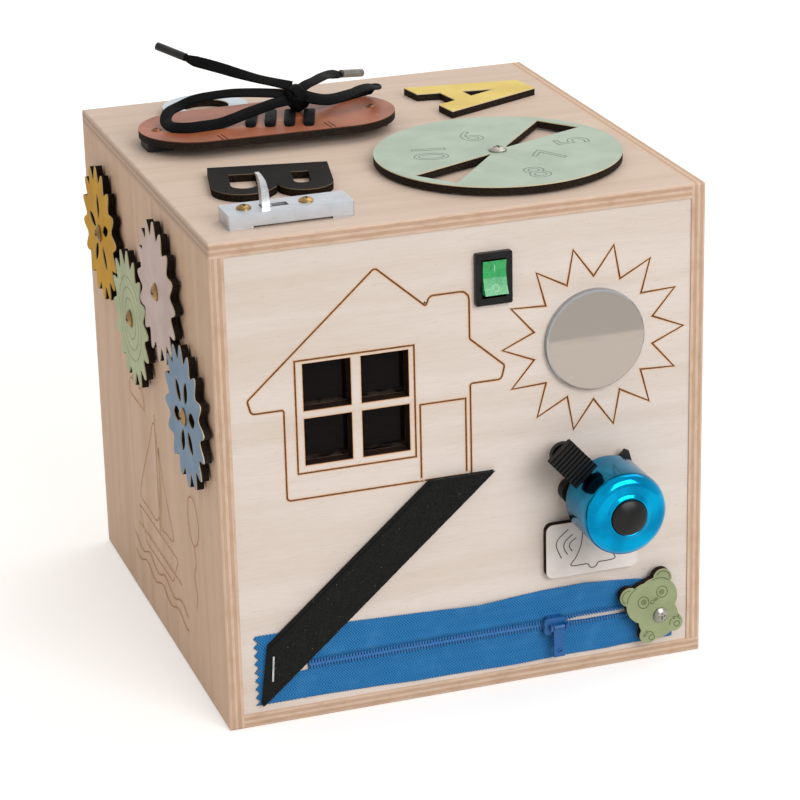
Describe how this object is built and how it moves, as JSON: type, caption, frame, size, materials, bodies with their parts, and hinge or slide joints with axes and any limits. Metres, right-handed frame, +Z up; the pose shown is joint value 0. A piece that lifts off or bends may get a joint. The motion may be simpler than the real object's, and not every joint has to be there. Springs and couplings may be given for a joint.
{
  "type": "activity cube",
  "caption": "Plywood play cube with a switch, mirror, bell, zip, peel strip and turning bear on its house side, meshed gears beside it, and a dial, letters, latch and laced shoe on top.",
  "frame": {"origin": "centre of the bottom face of the plywood cube", "axes": "+Z up, -Y out of the house side, -X out of the gear side"},
  "size_m": [0.206, 0.2353, 0.2336],
  "materials": {
    "ply_face": "pale sanded birch",
    "ply_warm": "pale sanded birch, warmer side",
    "glaze_smoke": "smoked glossy sheet",
    "black_plastic": "satin black",
    "rocker_green": "clear green",
    "brass": "satin brass",
    "zinc": "bright zinc",
    "board_green": "circuit board",
    "led_clear": "milky lens",
    "cell_steel": "cell casing",
    "wire_red": "wire cover",
    "mirror": "acrylic mirror",
    "bell_blue": "glossy blue lacquer",
    "bell_black": "moulded black",
    "sign_white": "off-white paint on thin ply",
    "zip_blue": "woven blue tape",
    "zip_coil_blue": "nylon coil",
    "zip_metal": "blue enamel",
    "strip_black": "hook and loop strip",
    "steel_wire": "plain steel",
    "bear_green": "sage paint on thin ply",
    "gear_yellow": "mustard paint on thin ply",
    "gear_green": "sage paint on thin ply",
    "gear_pink": "dusty pink paint on thin ply",
    "gear_blue": "grey-blue paint on thin ply",
    "wheel_mint": "mint paint on thin ply",
    "letter_yellow": "yellow paint on thin ply",
    "letter_dark": "charcoal paint on thin ply",
    "letter_grey": "pale grey-blue paint on thin ply",
    "latch_steel": "plated steel",
    "shoe_brown": "brown paint on thin ply",
    "lace_black": "woven flat lace",
    "aglet_clear": "clear sleeve over lace"
  },
  "bodies": {
    "box": {"top_panel": "ply_warm", "right_panel": "ply_warm", "bottom_panel": "ply_warm", "left_panel": "ply_warm", "front_panel": "ply_face", "back_panel": "ply_warm", "corner_blocks": "ply_warm", "back_screws": "zinc", "window_sheet": "glaze_smoke", "switch_housing": "black_plastic", "switch_terminals": "brass", "lamp_board": "board_green", "lamp_leds": "led_clear", "battery_holder": "black_plastic", "battery_cells": "cell_steel", "lamp_wires": "wire_red", "mirror_disc": "mirror", "bell_base": "bell_black", "bell_dome": "bell_blue", "bell_cap": "bell_black", "bell_sign": "sign_white", "zip_tape_upper": "zip_blue", "zip_tape_lower": "zip_blue", "zip_chain": "zip_coil_blue", "staple": "steel_wire", "hook_strip": "strip_black", "loop_strip_end": "strip_black", "gear_screws": "brass", "pivot_screws": "zinc", "pivot_washers": "black_plastic", "pivot_nuts": "zinc", "letter_a": "letter_yellow", "letter_b": "letter_dark", "letter_c": "letter_grey", "latch_body": "latch_steel", "latch_screws": "brass", "shoe_plate": "shoe_brown", "shoe_spacers": "black_plastic", "shoe_screws": "brass", "lace_crossings": "lace_black", "lace_loop_left": "lace_black", "lace_loop_right": "lace_black", "lace_tail_left": "lace_black", "lace_tail_right": "lace_black", "lace_aglet_left": "aglet_clear", "lace_aglet_right": "aglet_clear"},
    "rocker": {"switch_rocker": "rocker_green"},
    "bell_thumb": {"bell_lever": "bell_black", "bell_striker": "zinc", "bell_spring": "steel_wire"},
    "zip_runner": {"zip_slider": "zip_metal"},
    "zip_tab": {"zip_pull": "zip_metal"},
    "strip_flap": {"loop_strip_flap": "strip_black"},
    "bear": {"bear_button": "bear_green"},
    "yellow_wheel": {"gear_yellow": "gear_yellow"},
    "green_wheel": {"gear_green": "gear_green"},
    "pink_wheel": {"gear_pink": "gear_pink"},
    "blue_wheel": {"gear_blue": "gear_blue"},
    "dial": {"number_wheel": "wheel_mint"},
    "latch_horn": {"latch_hook": "latch_steel"}
  },
  "joints": [
    {"name": "rocker_tilt", "type": "hinge", "parent": "box", "child": "rocker", "pos_m": [0.0116, -0.0984, 0.1726], "axis": [1, 0, 0], "range_deg": [0, 20]},
    {"name": "bell_lever_turn", "type": "hinge", "parent": "box", "child": "bell_thumb", "pos_m": [0.04801, -0.1054, 0.08658], "axis": [0, -1, 0], "range_deg": [-22, 0], "stiffness_Nm_per_rad": 0.02, "springref_deg": 6.88},
    {"name": "zip_slide", "type": "slide", "parent": "box", "child": "zip_runner", "axis": [1, 0, 0], "range_m": [-0.095, 0.014]},
    {"name": "zip_pull_swing", "type": "hinge", "parent": "zip_runner", "child": "zip_tab", "pos_m": [0.0362, -0.1049, 0.0236], "axis": [1, 0, 0], "range_deg": [-165, 0]},
    {"name": "strip_peel", "type": "hinge", "parent": "box", "child": "strip_flap", "pos_m": [-0.07403, -0.1028, 0.03148], "axis": [0.6561, 0, -0.7547], "range_deg": [0, 100]},
    {"name": "bear_turn", "type": "hinge", "parent": "box", "child": "bear", "pos_m": [0.08, -0.1034, 0.0216], "axis": [0, -1, 0], "continuous": true},
    {"name": "pink_gear_turn", "type": "hinge", "parent": "box", "child": "pink_wheel", "pos_m": [-0.1025, -0.0332, 0.1608], "axis": [-1, 0, 0], "continuous": true},
    {"name": "blue_gear_turn", "type": "hinge", "parent": "box", "child": "blue_wheel", "pos_m": [-0.1025, -0.06853, 0.12129], "axis": [-1, 0, 0], "continuous": true},
    {"name": "green_gear_turn", "type": "hinge", "parent": "box", "child": "green_wheel", "pos_m": [-0.1025, 0.01293, 0.1347], "axis": [-1, 0, 0], "continuous": true},
    {"name": "yellow_gear_turn", "type": "hinge", "parent": "box", "child": "yellow_wheel", "pos_m": [-0.1025, 0.06108, 0.15685], "axis": [-1, 0, 0], "continuous": true},
    {"name": "dial_turn", "type": "hinge", "parent": "box", "child": "dial", "pos_m": [0.0362, -0.041, 0.2025], "axis": [0, 0, 1], "continuous": true},
    {"name": "latch_slide", "type": "slide", "parent": "box", "child": "latch_horn", "axis": [1, 0, 0], "range_m": [0, 0.007]}
  ],
  "couplings": [
    {"joint": "blue_gear_turn", "follows": "pink_gear_turn", "ratio": -1},
    {"joint": "green_gear_turn", "follows": "pink_gear_turn", "ratio": -1},
    {"joint": "yellow_gear_turn", "follows": "pink_gear_turn", "ratio": 1}
  ]
}
